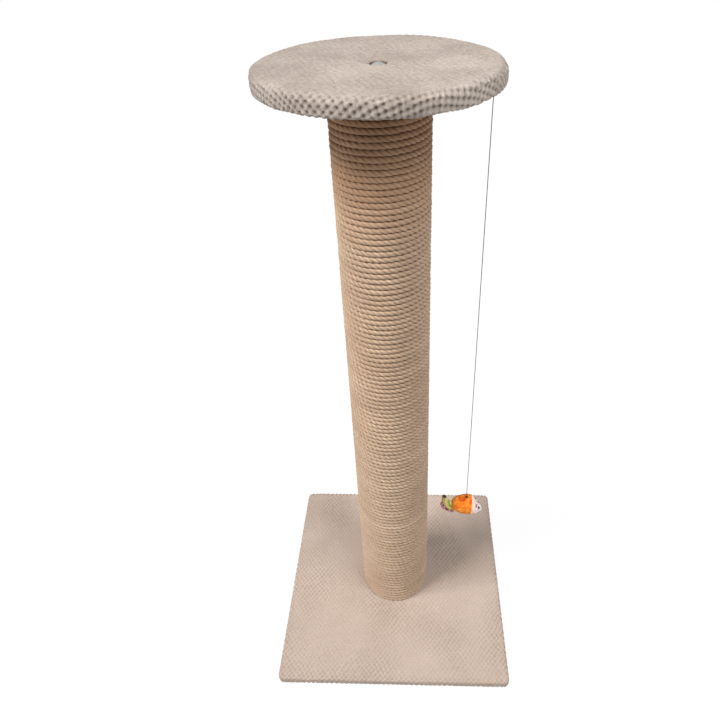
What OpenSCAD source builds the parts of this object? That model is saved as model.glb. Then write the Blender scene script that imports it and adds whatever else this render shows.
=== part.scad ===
// Cat scratcher: a rope-wound post on a square covered base, with a round
// covered platform on top and a stuffed toy hung from an elastic string.
// Millimetres, +Z up, origin on the floor under the middle of the base.

/* [Base] */
// Side of the square base board, without its cover
base_side = 400; // [300:10:600]
// Thickness of the base board
base_board_t = 9; // [9:1:25]
// Radius of the board's corners, seen from above
base_corner_r = 6; // [4:1:30]
// How far the post stands behind the middle of the base
post_back = 7; // [0:1:30]
// Thickness of the plush cover, on the base and on the platform
cover_t = 4; // [3:0.5:6]
// Thickness of the cover where it is folded under a board
hem_t = 2; // [1.5:0.5:3]
// Width of the hem under the base
base_hem_w = 32; // [24:2:60]
// Thickness of the felt lining under the base
lining_t = 1; // [0.8:0.2:3]
// How far the lining stops short of the board's edge
lining_inset = 14; // [8:1:20]
// Staples in each side of the base's hem
base_staples_per_side = 5; // [3:1:9]

/* [Post] */
// Outer diameter of the cardboard tube
tube_d = 110; // [80:2:140]
// Wall of the cardboard tube
tube_wall = 5; // [3:0.5:8]
// Height of the post between the two covers
post_h = 966; // [500:2:1200]
// Thickness of the plugs in the tube's ends
plug_t = 18; // [14:1:30]
// Nails through the tube into each plug
nails_per_plug = 4; // [3:1:8]
// Length of a plug nail
nail_len = 20; // [12:1:24]
// Diameter of a plug nail
nail_d = 1.6; // [1.2:0.1:2.5]

/* [Rope] */
// Diameter of the rope
rope_d = 7.7; // [6:0.1:10]
// Gap between one turn of the rope and the next
rope_gap = 0.5; // [0.45:0.05:1.5]
// Height of the join between the lower and the upper rope, above the base
rope_join_h = 224; // [100:2:300]
// Turns at the top that are drawn one by one
top_turns = 24; // [6:1:24]

/* [Platform] */
// Diameter of the platform board, without its cover
platform_board_d = 285; // [240:5:400]
// Thickness of the platform board
platform_board_t = 12; // [9:1:18]
// Thickness of the wadding on the platform board
wadding_t = 5; // [3:0.5:8]
// Radius of the cover's lower edge round the platform
platform_low_r = 4; // [3:0.5:6]
// Width of the hem under the platform
platform_hem_w = 34.5; // [28:0.5:50]
// Outer diameter of the dimple that the bolt pulls in the cover
dimple_d = 40; // [32:2:60]
// Thickness of the cover where the bolt head squeezes it
squeezed_t = 2.5; // [1.5:0.5:4]
// Staples round the platform's hem
platform_staple_count = 18; // [8:1:24]

/* [Bolts and nuts] */
// Diameter of both bolts
bolt_d = 8; // [6:1:8]
// Diameter of a bolt's cup head
bolt_head_d = 20; // [18:0.5:22]
// Height of a bolt's cup head
bolt_head_h = 4.6; // [3.5:0.1:5]
// Length of the square neck under the head
bolt_neck_h = 5.5; // [4:0.5:6]
// Length of the base's bolt under its head
base_bolt_len = 36; // [34:1:50]
// Length of the platform's bolt under its head
platform_bolt_len = 40; // [36:1:60]
// Depth of the recess for the head under the base board
bolt_recess_h = 3; // [3:0.1:4]
// Outer diameter of a captive nut's barrel
nut_barrel_d = 10; // [10:0.5:12]
// Length of a captive nut's barrel
nut_barrel_h = 10; // [7:0.5:12]
// Diameter of a captive nut's flange
nut_flange_d = 22; // [18:1:26]
// Thickness of a captive nut's flange
nut_flange_t = 1.2; // [1:0.1:2]

/* [Staples] */
// Width of a staple's crown
staple_w = 10; // [8:0.5:12]
// Length of a hem staple's legs
staple_leg = 6; // [5:0.5:7]
// Width of the staple wire
staple_wire_w = 1.2; // [0.8:0.1:1.6]
// Thickness of the staple wire
staple_wire_t = 0.6; // [0.5:0.1:1]

/* [String] */
// Distance of the string from the platform board's edge
string_inset = 9.5; // [8.5:0.5:16]
// Length of the elastic string between its knots
string_len = 724; // [300:2:800]
// Diameter of the elastic string
string_d = 1; // [0.8:0.1:1.6]
// Diameter of the knots at its ends
knot_d = 4; // [3:0.5:5]
// Wire diameter of the staple that holds the string
hook_wire_d = 1.2; // [1:0.1:1.5]
// Straight length of that staple's crown
hook_crown = 7; // [6:0.5:10]
// How far that staple's crown hangs below the hem
hook_drop = 3; // [3:0.5:5]
// Depth of that staple's legs in the platform board
hook_leg = 8; // [6:0.5:9]

/* [Toy] */
// Length of the orange body
toy_body_len = 36; // [30:1:44]
// Length of the pale head
toy_head_len = 17; // [12:1:24]
// Diameter of the body at its thickest
toy_d = 34; // [26:1:40]
// How far the nose lies below the body's axis
nose_drop = 12; // [4:0.5:14]
// Distance from the body's rear to the string
toy_hang = 24.3; // [18:0.1:30]
// Diameter of a bead eye
eye_d = 4; // [3:0.5:5]
// Length of a felt ear
ear_len = 7; // [5:0.5:9]
// Thickness of a felt ear
ear_t = 1.4; // [1:0.2:2]
// Radius of the tail's curl
tail_curl_r = 16.5; // [15:0.5:20]
// Thickness of the tail
tail_d = 14; // [9:0.5:15]
// Thickness of the tail's edging
trim_d = 6.6; // [4:0.2:7]

/* [Hidden] */

$fn = 64;

// Clearances
running_gap = 0.05; // round a part that turns on another
fit_gap = 0.1; // round a part that is pushed into another
soft_gap = 0.3; // beside a soft piece of another body
turn_clear = 0.3; // between the drawn rope turns and the tube
past = 1; // how far a cut runs past the face it opens

// Heights of the base, from the floor up
base_hem_z = lining_t;
base_board_z = base_hem_z + hem_t;
base_board_top = base_board_z + base_board_t;
base_top = base_board_top + cover_t;
base_bolt_seat = base_board_z + bolt_recess_h;
recess_d = bolt_head_d + 4;

// Heights of the platform, from the post up
platform_z = base_top + post_h;
platform_board_z = platform_z + hem_t;
platform_board_top = platform_board_z + platform_board_t;
platform_top = platform_board_top + wadding_t + cover_t;
platform_bolt_seat = platform_board_top + squeezed_t;
platform_d = platform_board_d + 2 * cover_t;
platform_hem_r = platform_board_d / 2 - platform_hem_w;
post_top = platform_board_z;

// Radii of the post
tube_r = tube_d / 2;
bore_r = tube_r - tube_wall;
wrap_r = tube_r + rope_d;
rope_join_z = base_top + rope_join_h;
pitch = rope_d + rope_gap;

// The drawn turns: a six-sided tube with a corner up and a corner down
turn_sides = 6;
turn_rings = 24;
flat_r = rope_d / 2 * cos(180 / turn_sides);
turn_r = (tube_r + turn_clear) / cos(180 / turn_rings) + flat_r;
last_turn_z = post_top - rope_gap - rope_d / 2;
first_turn_z = last_turn_z - top_turns * pitch;
upper_wrap_top = first_turn_z - rope_d / 2 - rope_gap;
rope_end_angle = 90;
staple_back = 8; // degrees from a rope's end to its staple

// Bolts and their holes
neck_side = bolt_d;
neck_hole = neck_side + 2 * running_gap;
bolt_hole_d = bolt_d + 2 * fit_gap;
cover_hole_d = neck_hole * sqrt(2) + 2 * fit_gap;

// The string's staple, knots and route, from the string's top downwards
string_x = platform_board_d / 2 - string_inset;
hook_bend_r = 1.5;
hook_z = platform_z - hook_drop;
string_top = hook_z - knot_d / 2 - soft_gap;
string_bottom = string_top - string_len;
string_sides = 8;
string_steps = 12;
bottom_knot_z = string_bottom - soft_gap - knot_d / 2;
toy_top = bottom_knot_z - knot_d / 2 - soft_gap;
toy_z = toy_top - toy_d / 2;

// The toy's outline: share of the length, share of the radius, share of the nose's drop
body_rings = [
    [0, 0.4, 0], [0.05, 0.54, 0], [0.15, 0.69, 0], [0.3, 0.84, 0], [0.5, 0.95, 0],
    [0.66, 1, 0], [0.84, 1, 0], [1, 0.95, 0.1]
];
head_rings = [
    [0, 0.95, 0.1], [0.25, 0.8, 0.32], [0.5, 0.62, 0.56], [0.72, 0.43, 0.78],
    [0.88, 0.27, 0.92], [0.97, 0.14, 0.99], [1, 0.05, 1]
];
toy_sides = 20;
tail_steps = 12;
tail_sides = 10;
tail_rise = 6.5; // height of the curl's centre above the body's axis
tail_root = 8; // how far the curl's centre lies in front of the body's rear
tail_start = -70; // angle at which the curl starts, inside the body
tail_end = -216; // angle at which the tail ends in its tip
tail_open = 10; // how much wider the curl is at the tip
tail_flat = 0.6; // the tail's width across the toy, as a share of its thickness
trim_start = -98;
trim_end = -172;
trim_r = tail_curl_r + (tail_d + trim_d) / 2 + fit_gap;

// Solids that the boards and covers share

// Half of a slab's cross-section, from its middle out, with round upper and lower edges
module half_profile(half_w, z0, z1, high_r, low_r) {
    translate([0, z0 + low_r]) square([half_w, z1 - z0 - low_r - high_r]);
    translate([0, z1 - high_r]) square([half_w - high_r, high_r]);
    translate([0, z0]) square([half_w - low_r, low_r]);
    translate([half_w - high_r, z1 - high_r]) circle(high_r);
    translate([half_w - low_r, z0 + low_r]) circle(low_r);
}

// A square slab with round corners and round edges
module soft_slab(side, corner_r, z0, z1, high_r, low_r) {
    run = side - 2 * corner_r;
    for (x = [-1, 1], y = [-1, 1])
        translate([x * run / 2, y * run / 2, 0])
            rotate_extrude()
                half_profile(corner_r, z0, z1, high_r, low_r);
    for (turn = [0 : 90 : 270])
        rotate([90, 0, turn])
            translate([0, 0, -run / 2])
                linear_extrude(run)
                    half_profile(side / 2, z0, z1, high_r, low_r);
}

// A square board with round corners
module square_board(side, corner_r, z0, z1) {
    run = side - 2 * corner_r;
    translate([0, 0, z0])
        linear_extrude(z1 - z0)
            union() {
                square([side, run], center = true);
                square([run, side], center = true);
                for (x = [-1, 1], y = [-1, 1])
                    translate([x * run / 2, y * run / 2])
                        circle(corner_r);
            }
}

// A cylinder between two heights
module post(d, z0, z1) {
    translate([0, 0, z0]) cylinder(d = d, h = z1 - z0);
}

// Moves its children to the post's axis
module on_post() {
    translate([0, post_back, 0]) children();
}

// Moves its children to the string
module on_string() {
    on_post() translate([string_x, 0, 0]) children();
}

// Fasteners

// A cup-head bolt, head down, the underside of its head at z = 0
module cup_bolt(length) {
    cap_r = (pow(bolt_head_d / 2, 2) + pow(bolt_head_h, 2)) / (2 * bolt_head_h);
    intersection() {
        translate([0, 0, cap_r - bolt_head_h]) sphere(cap_r);
        translate([0, 0, -bolt_head_h]) cylinder(d = bolt_head_d, h = bolt_head_h);
    }
    translate([-neck_side / 2, -neck_side / 2, 0]) cube([neck_side, neck_side, bolt_neck_h]);
    cylinder(d = bolt_d, h = length);
}

// A captive nut, flange on top at z = 0, barrel and prongs down
module tee_nut() {
    prong = [1.2, 2.4, 5];
    prong_inset = 0.8;
    difference() {
        union() {
            cylinder(d = nut_flange_d, h = nut_flange_t);
            translate([0, 0, -nut_barrel_h]) cylinder(d = nut_barrel_d, h = nut_barrel_h + nut_flange_t);
        }
        translate([0, 0, -nut_barrel_h - past])
            cylinder(d = bolt_d + 2 * running_gap, h = nut_barrel_h + nut_flange_t + 2 * past);
    }
    for (turn = [0 : 120 : 240])
        rotate(turn)
            translate([nut_flange_d / 2 - prong.x - prong_inset, -prong.y / 2, -prong.z])
                cube([prong.x, prong.y, prong.z + nut_flange_t / 2]);
}

// A flat-wire staple, crown along X under z = 0 up to staple_wire_t, legs up
module staple(leg) {
    translate([-staple_w / 2, -staple_wire_w / 2, 0])
        cube([staple_w, staple_wire_w, staple_wire_t]);
    for (x = [-staple_w / 2, staple_w / 2 - staple_wire_t])
        translate([x, -staple_wire_w / 2, 0])
            cube([staple_wire_t, staple_wire_w, leg]);
}

// Tubes and lofts

// Corners round a centre, from unit vector a towards unit vector b; a x b points along the tube
function ring(centre, a, b, radius, sides) = [
    for (i = [0 : sides - 1])
        let (t = 360 * i / sides)
            centre + radius * (cos(t) * a + sin(t) * b)
];

// Triangles over rings of equal size that lie in one list, with both ends closed
function skin_faces(rings, sides) = concat(
    [for (k = [0 : rings - 2], i = [0 : sides - 1])
        [k * sides + i, (k + 1) * sides + i, (k + 1) * sides + (i + 1) % sides]],
    [for (k = [0 : rings - 2], i = [0 : sides - 1])
        [k * sides + i, (k + 1) * sides + (i + 1) % sides, k * sides + (i + 1) % sides]],
    [for (i = [1 : sides - 2]) [0, i, i + 1]],
    [for (i = [1 : sides - 2]) [(rings - 1) * sides, (rings - 1) * sides + i + 1, (rings - 1) * sides + i]]
);

module skin(points, sides) {
    polyhedron(points, skin_faces(len(points) / sides, sides), convexity = 10);
}

// Base

module base_board() {
    color("burlywood") difference() {
        square_board(base_side, base_corner_r, base_board_z, base_board_top);
        on_post() {
            post(recess_d, base_board_z - past, base_bolt_seat);
            translate([-neck_hole / 2, -neck_hole / 2, base_bolt_seat - past])
                cube([neck_hole, neck_hole, base_board_t + 2 * past]);
        }
    }
}

module base_cover() {
    hem_inner = base_side - 2 * base_hem_w;
    color("tan") difference() {
        soft_slab(base_side + 2 * cover_t, base_corner_r + cover_t, base_hem_z, base_top, cover_t, hem_t);
        square_board(base_side, base_corner_r, base_board_z, base_board_top);
        square_board(hem_inner, base_corner_r, base_hem_z - past, base_board_z + past);
        on_post() post(cover_hole_d, base_board_top - past, base_top + past);
    }
}

module base_lining() {
    color("dimgray")
        square_board(base_side - 2 * lining_inset, base_corner_r, 0, lining_t);
}

module base_staples() {
    row = base_side / 2 - base_hem_w / 2;
    row_len = 0.9 * (base_side - 2 * base_hem_w);
    step = row_len / (base_staples_per_side - 1);
    color("silver")
        for (turn = [0 : 90 : 270], i = [0 : base_staples_per_side - 1])
            rotate(turn)
                translate([i * step - row_len / 2, row, base_hem_z])
                    staple(staple_leg + hem_t);
}

module base_bolt() {
    color("silver") on_post() translate([0, 0, base_bolt_seat]) cup_bolt(base_bolt_len);
}

// Post

module cardboard_tube() {
    color("peru") on_post() difference() {
        post(tube_d, base_top, post_top);
        post(2 * bore_r, base_top - past, post_top + past);
    }
}

module plug(z0) {
    color("wheat") on_post() difference() {
        post(2 * (bore_r - fit_gap), z0, z0 + plug_t);
        post(nut_barrel_d + 2 * fit_gap, z0 - past, z0 + plug_t + past);
    }
}

module bottom_plug() {
    plug(base_top);
}

module top_plug() {
    plug(post_top - plug_t);
}

module bottom_tee_nut() {
    color("gray") on_post() translate([0, 0, base_top + plug_t]) tee_nut();
}

module top_tee_nut() {
    color("gray") on_post() translate([0, 0, post_top - plug_t]) rotate([180, 0, 0]) tee_nut();
}

module plug_nails() {
    head_d = 2 * nail_d + 1;
    head_t = 0.8;
    sunk = 0.3; // into the tube, because a flat head stands proud of a round wall
    color("silver") on_post()
        for (z = [base_top + plug_t / 2, post_top - plug_t / 2], i = [0 : nails_per_plug - 1])
            translate([0, 0, z])
                rotate([0, 90, 45 + 360 * i / nails_per_plug])
                    translate([0, 0, tube_r - sunk]) {
                        translate([0, 0, -nail_len]) cylinder(d = nail_d, h = nail_len);
                        translate([0, 0, -head_t]) cylinder(d = head_d, h = head_t);
                    }
}

module wrap(z0, z1) {
    color("burlywood") on_post() difference() {
        post(2 * wrap_r, z0, z1);
        post(tube_d, z0 - past, z1 + past);
    }
}

module rope_lower_wrap() {
    wrap(base_top, rope_join_z);
}

module rope_upper_wrap() {
    wrap(rope_join_z, upper_wrap_top);
}

// Centre of the rope after a number of rings along its helix
function rope_centre(i) =
    let (t = rope_end_angle + 360 * i / turn_rings)
        [turn_r * cos(t), turn_r * sin(t), first_turn_z + pitch * i / turn_rings];

// The way the rope runs there, as a unit vector
function rope_way(i) =
    let (t = rope_end_angle + 360 * i / turn_rings, run = [-sin(t), cos(t), pitch / (2 * PI * turn_r)])
        run / norm(run);

function rope_ring(i, ahead) =
    let (t = rope_end_angle + 360 * i / turn_rings)
        ring(rope_centre(i) + ahead * rope_way(i), [0, 0, 1], [cos(t), sin(t), 0], rope_d / 2, turn_sides);

rope_ring_count = top_turns * turn_rings;
// Both ends run straight for one rope diameter
rope_points = concat(
    rope_ring(0, -rope_d),
    [for (i = [0 : rope_ring_count], p = rope_ring(i, 0)) p],
    rope_ring(rope_ring_count, rope_d)
);

// Least distance between a corner of one ring and a corner of a ring about one turn on
least_rope_gap = min([
    for (i = [0 : rope_ring_count - turn_rings], j = [-1 : 1])
        if (i + turn_rings + j <= rope_ring_count)
            min([for (a = rope_ring(i, 0), b = rope_ring(i + turn_rings + j, 0)) norm(a - b)])
]);

module rope_top_turns() {
    echo(str("Rope's top turns: least gap of the tube to itself ", least_rope_gap, " mm"));
    color("burlywood") on_post() skin(rope_points, turn_sides);
}

module rope_staples() {
    leg = rope_d + tube_wall - past;
    heights = [
        base_top + pitch / 2, rope_join_z - pitch / 2, rope_join_z + pitch / 2, last_turn_z
    ];
    color("silver") on_post()
        for (z = heights)
            rotate(rope_end_angle - staple_back)
                translate([wrap_r + staple_wire_t, 0, z])
                    rotate([0, -90, 0])
                        rotate(90)
                            staple(leg);
}

// Platform

module platform_board() {
    color("burlywood") on_post() difference() {
        post(platform_board_d, platform_board_z, platform_board_top);
        post(bolt_hole_d, platform_board_z - past, platform_board_top + past);
        translate([-neck_hole / 2, -neck_hole / 2, platform_bolt_seat - bolt_neck_h - running_gap])
            cube([neck_hole, neck_hole, bolt_neck_h + past]);
    }
}

// Cross-section of the dimple, from the bolt's seat up through the top, lowered by a depth
module dimple_profile(depth) {
    seat_r = bolt_head_d / 2 + 1;
    steps = 8;
    rise = platform_top - platform_bolt_seat;
    translate([0, platform_bolt_seat - depth])
        polygon(concat(
            [[0, 0]],
            [for (i = [0 : steps])
                let (t = i / steps)
                    [seat_r + (dimple_d / 2 - seat_r) * t, rise * t * t * (3 - 2 * t)]],
            [[dimple_d / 2, rise + past + depth], [0, rise + past + depth]]
        ));
}

// Cross-section of the wadding, from the middle out
module wadding_profile() {
    wadding_top = platform_board_top + wadding_t;
    difference() {
        intersection() {
            half_profile(platform_board_d / 2, platform_board_z, wadding_top, wadding_t, past);
            translate([0, platform_board_top]) square([platform_board_d, wadding_t]);
        }
        dimple_profile(cover_t);
    }
}

module platform_wadding() {
    color("white") on_post() rotate_extrude($fn = 96) wadding_profile();
}

module platform_cover() {
    high_r = wadding_t + cover_t;
    color("tan") on_post() rotate_extrude($fn = 96) difference() {
        half_profile(platform_d / 2, platform_z, platform_top, high_r, platform_low_r);
        translate([0, platform_board_z]) square([platform_board_d / 2, platform_board_t]);
        translate([0, platform_z - past]) square([platform_hem_r, hem_t + 2 * past]);
        translate([-past, platform_z]) square([cover_hole_d / 2 + past, platform_top]);
        wadding_profile();
        dimple_profile(0);
    }
}

module platform_staples() {
    row = platform_hem_r + 0.3 * platform_hem_w;
    color("silver") on_post()
        for (i = [0 : platform_staple_count - 1])
            rotate(360 * (i + 0.5) / platform_staple_count)
                translate([row, 0, platform_z])
                    rotate(90)
                        staple(staple_leg + hem_t);
}

module platform_bolt() {
    color("silver") on_post()
        translate([0, 0, platform_bolt_seat]) rotate([180, 0, 0]) cup_bolt(platform_bolt_len);
}

// String

module string_staple() {
    leg_y = hook_crown / 2 + hook_bend_r;
    leg_z = hook_z + hook_bend_r;
    color("silver") on_string() {
        translate([0, hook_crown / 2, hook_z]) rotate([90, 0, 0]) cylinder(d = hook_wire_d, h = hook_crown);
        for (side = [0, 180])
            rotate(side) {
                translate([0, leg_y, leg_z])
                    cylinder(d = hook_wire_d, h = platform_board_z + hook_leg - leg_z);
                translate([0, hook_crown / 2, leg_z])
                    rotate([0, 90, 0])
                        rotate_extrude(angle = 90)
                            translate([hook_bend_r, 0]) circle(d = hook_wire_d);
            }
    }
}

module string_top_knot() {
    color("dimgray") on_string() translate([0, 0, hook_z]) difference() {
        sphere(d = knot_d);
        rotate([90, 0, 0]) cylinder(d = hook_wire_d + 2 * running_gap, h = 2 * knot_d, center = true);
    }
}

string_route = [for (i = [0 : string_steps]) [0, 0, string_top - string_len * i / string_steps]];

module elastic_string() {
    points = [for (p = string_route, q = ring(p, [0, 1, 0], [1, 0, 0], string_d / 2, string_sides)) q];
    color("dimgray") on_string() skin(points, string_sides);
}

module string_bottom_knot() {
    color("dimgray") on_string() translate([0, 0, bottom_knot_z]) sphere(d = knot_d);
}

// Toy, drawn along X with its nose towards +X and its body's rear at x = 0

module on_toy() {
    on_string() translate([-toy_hang, 0, toy_z]) children();
}

// One part of the stuffed body: rings along X, from a start over a length
module toy_loft(rings, start, length) {
    points = [
        for (r = rings, p = ring([start + length * r[0], 0, -nose_drop * r[2]],
            [0, 1, 0], [0, 0, 1], toy_d / 2 * r[1], toy_sides)) p
    ];
    skin(points, toy_sides);
}

module toy_body() {
    color("darkorange") on_toy() toy_loft(body_rings, 0, toy_body_len);
}

module toy_head() {
    color("mistyrose") on_toy() toy_loft(head_rings, toy_body_len, toy_head_len);
}

// Places its children on both sides of the head, at a share of its length and a lean up from level
module head_sides(share, radius_share, drop_share, lean) {
    on_toy()
        translate([toy_body_len + toy_head_len * share, 0, -nose_drop * drop_share])
            for (side = [0, 1])
                mirror([0, side, 0])
                    rotate([lean, 0, 0])
                        translate([0, toy_d / 2 * radius_share, 0]) children();
}

module toy_eyes() {
    color("black") difference() {
        head_sides(0.64, 0.47, 0.7, 43) sphere(d = eye_d);
        toy_head();
    }
}

module toy_ears() {
    color("palevioletred") difference() {
        head_sides(0.3, 0.74, 0.35, 50)
            rotate([90, 0, 0])
                scale([0.6, 1, 1]) cylinder(d = ear_len, h = 2 * ear_t, center = true);
        toy_head();
    }
}

// A curl behind the body: a tube that swells and tapers along an arc, which opens towards its end
module curl(radius, thickness, start, end, open) {
    points = [
        for (i = [0 : tail_steps])
            let (
                t = i / tail_steps,
                turn = start + (end - start) * t,
                out = [cos(turn), 0, sin(turn)],
                arc_r = radius + open * pow(max(0, 2 * t - 1), 2),
                half = thickness / 2 * (0.25 + 0.75 * pow(sin(180 * (0.2 + 0.8 * t)), 0.6))
            )
                for (p = ring(arc_r * out, [0, tail_flat, 0], out, half, tail_sides)) p
    ];
    difference() {
        on_toy() translate([tail_root, 0, tail_rise]) skin(points, tail_sides);
        toy_body();
    }
}

module toy_tail() {
    color("yellowgreen") curl(tail_curl_r, tail_d, tail_start, tail_end, tail_open);
}

module toy_tail_trim() {
    color("palevioletred") curl(trim_r, trim_d, trim_start, trim_end, 0);
}

base_board();
base_cover();
base_lining();
base_staples();
base_bolt();
cardboard_tube();
bottom_plug();
top_plug();
bottom_tee_nut();
top_tee_nut();
plug_nails();
rope_lower_wrap();
rope_upper_wrap();
rope_top_turns();
rope_staples();
platform_board();
platform_wadding();
platform_cover();
platform_staples();
platform_bolt();
string_staple();
string_top_knot();
elastic_string();
string_bottom_knot();
toy_body();
toy_head();
toy_eyes();
toy_ears();
toy_tail();
toy_tail_trim();
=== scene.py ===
# %% [markdown]
# A cat scratcher: a post wound with sisal rope on a square base covered in
# waffle plush, a round plush platform on top, and a small stuffed toy that
# hangs from the platform on an elastic string. The hard parts come from the
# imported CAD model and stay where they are. Everything soft is made here, over
# that model, in metres and in the same frame.

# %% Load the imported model
import math

import bmesh
import bpy
import numpy as np
from mathutils import Matrix, Vector


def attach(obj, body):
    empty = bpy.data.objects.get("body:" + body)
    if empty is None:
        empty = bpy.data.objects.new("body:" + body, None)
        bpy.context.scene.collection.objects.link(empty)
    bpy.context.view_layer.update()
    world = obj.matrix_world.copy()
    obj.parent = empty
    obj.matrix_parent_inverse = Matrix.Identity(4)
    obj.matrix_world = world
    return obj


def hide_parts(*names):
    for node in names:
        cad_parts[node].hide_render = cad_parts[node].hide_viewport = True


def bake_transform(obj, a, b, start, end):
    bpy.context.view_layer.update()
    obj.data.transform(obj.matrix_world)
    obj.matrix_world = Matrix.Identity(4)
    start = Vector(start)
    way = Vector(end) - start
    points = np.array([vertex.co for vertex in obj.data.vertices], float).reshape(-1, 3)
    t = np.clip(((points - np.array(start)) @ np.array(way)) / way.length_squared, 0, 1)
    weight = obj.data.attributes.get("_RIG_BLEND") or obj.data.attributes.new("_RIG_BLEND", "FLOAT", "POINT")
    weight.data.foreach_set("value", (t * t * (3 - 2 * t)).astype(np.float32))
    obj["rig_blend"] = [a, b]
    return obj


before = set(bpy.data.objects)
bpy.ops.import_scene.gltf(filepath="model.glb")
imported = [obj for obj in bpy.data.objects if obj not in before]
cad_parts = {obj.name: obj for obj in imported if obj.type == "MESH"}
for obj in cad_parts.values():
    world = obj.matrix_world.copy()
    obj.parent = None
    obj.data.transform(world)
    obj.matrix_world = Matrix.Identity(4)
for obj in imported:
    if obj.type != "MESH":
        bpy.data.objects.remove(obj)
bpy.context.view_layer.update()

MM = 0.001

# %% [markdown]
# The camera stands in front of the scratcher, a little higher than its top,
# and looks down at 35 degrees, so the post narrows towards the floor. Its
# place and turn were worked out from the corners of the base and the circle of
# the platform. The small shift is what is left of the picture's cropping.

# %% Camera
def linked(name, data):
    """A new object in the scene."""
    made = bpy.data.objects.new(name, data)
    bpy.context.scene.collection.objects.link(made)
    return made


def camera_at(place, pitch, yaw, roll, lens, shift):
    """A camera that looks down by pitch, is turned right by yaw and leans by roll."""
    ahead = Vector((math.sin(yaw) * math.cos(pitch), math.cos(yaw) * math.cos(pitch), -math.sin(pitch)))
    across = Vector((math.cos(yaw), -math.sin(yaw), 0))
    above = across.cross(ahead)
    right = math.cos(roll) * across + math.sin(roll) * above
    up = math.cos(roll) * above - math.sin(roll) * across
    data = bpy.data.cameras.new("camera")
    data.sensor_fit = "HORIZONTAL"
    data.sensor_width = 36
    data.lens = lens
    data.shift_x, data.shift_y = shift
    camera = linked("camera", data)
    camera.matrix_world = Matrix.Translation(place) @ Matrix((right, up, -ahead)).transposed().to_4x4()
    return camera


camera = camera_at(
    (0.0411, -0.7401, 1.1734), pitch=0.60564, yaw=-0.05196, roll=-0.03265,
    lens=31.337, shift=(-0.0394, -0.0647),
)
bpy.context.scene.camera = camera
bpy.context.scene.view_settings.view_transform = "Standard"
print("camera", [round(x, 3) for x in camera.location])

# %% [markdown]
# Shader sums read best as sums. With plain nodes each takes four lines. This
# small class wraps one socket, and Python's operators on it add Math nodes. A
# number may stand on either side, so that 1 - mask works too.

# %% Sums of sockets
class Value:
    """One output of a shader node."""

    def __init__(self, finish, socket):
        self.finish, self.socket = finish, socket

    def sum(self, operation, *terms):
        return self.finish.node("Math", {"operation": operation}, dict(enumerate(terms)))

    def __add__(self, other):
        return self.sum("ADD", self, other)

    __radd__ = __add__

    def __sub__(self, other):
        return self.sum("SUBTRACT", self, other)

    def __rsub__(self, other):
        return self.sum("SUBTRACT", other, self)

    def __mul__(self, other):
        return self.sum("MULTIPLY", self, other)

    __rmul__ = __mul__

    def __pow__(self, other):
        return self.sum("POWER", self, other)


print("sums:", Value.__name__)

# %% [markdown]
# A finish is one material with one Principled shader. Plain numbers are given
# at the start, and what varies is fed in later. One method makes every other
# node, so each pattern below is a single line.

# %% A material as Python expressions
class Finish:
    """A material under construction, with one Principled shader."""

    def __init__(self, name, constants):
        self.material = bpy.data.materials.new(name)
        self.material.use_nodes = True
        self.tree = self.material.node_tree
        self.shader = self.tree.nodes["Principled BSDF"]
        for socket, value in constants.items():
            self.shader.inputs[socket].default_value = value

    def node(self, kind, settings=None, sockets=None, output=0):
        made = self.tree.nodes.new("ShaderNode" + kind)
        for key, value in (settings or {}).items():
            if key == "stops":
                ramp = made.color_ramp
                ramp.elements.remove(ramp.elements[1])
                for i, (place, colour) in enumerate(value):
                    stop = ramp.elements[0] if i == 0 else ramp.elements.new(place)
                    stop.position, stop.color = place, colour
            else:
                setattr(made, key, value)
        for key, value in (sockets or {}).items():
            if isinstance(value, Value):
                self.tree.links.new(value.socket, made.inputs[key])
            else:
                made.inputs[key].default_value = value
        return Value(self, made.outputs[output])

    def place(self):
        """The point on the piece, in metres."""
        return self.node("TexCoord", output="Object")

    def kept(self, name):
        """A number that was stored on the piece's points."""
        return self.node("Attribute", {"attribute_name": name}, output="Fac")

    def noise(self, where, scale, detail=2.0, roughness=0.5):
        sockets = {"Vector": where, "Scale": scale, "Detail": detail, "Roughness": roughness}
        return self.node("TexNoise", sockets=sockets)

    def stretched(self, where, scale):
        return self.node("Mapping", sockets={"Vector": where, "Scale": scale})

    def mix(self, factor, a, b, blend="MIX"):
        settings = {"data_type": "RGBA", "blend_type": blend}
        return self.node("Mix", settings, {0: factor, 6: a, 7: b}, output=2)

    def ramp(self, factor, *stops):
        return self.node("ValToRGB", {"stops": stops}, {"Fac": factor})

    def feed(self, socket, value):
        self.tree.links.new(value.socket, self.shader.inputs[socket])

    def two_tone(self, factor, low, high):
        self.feed("Base Color", self.mix(factor, colour(*low), colour(*high)))

    def bump(self, height, distance, strength=1.0):
        sockets = {"Height": height, "Distance": distance, "Strength": strength}
        self.feed("Normal", self.node("Bump", sockets=sockets))


def colour(red, green, blue):
    """A colour as a picture shows it, 0 to 255, turned into light."""
    shares = [c / 255 for c in (red, green, blue)]
    return (*[s / 12.92 if s <= 0.04045 else ((s + 0.055) / 1.055) ** 2.4 for s in shares], 1.0)


print("materials:", Finish.__name__)

# %% [markdown]
# The helpers that every soft piece shares. A piece starts as a bmesh. Its
# points are read into numpy to be moved all at once. Numbers that a material
# needs, such as how high a point is on a puff, are kept on the points. The
# random bends are sums of sines from a seeded generator, so each run gives the
# same.

# %% Helpers for pieces
def points_of(bm):
    return np.array([v.co[:] for v in bm.verts])


def move_points(bm, points):
    for vert, point in zip(bm.verts, points):
        vert.co = point


def store(bm, name, values):
    """Keeps one number for each point, for the material."""
    layer = bm.verts.layers.float.get(name) or bm.verts.layers.float.new(name)
    for vert, value in zip(bm.verts, values):
        vert[layer] = value


def stored(bm, name):
    layer = bm.verts.layers.float[name]
    return np.array([v[layer] for v in bm.verts])


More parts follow.
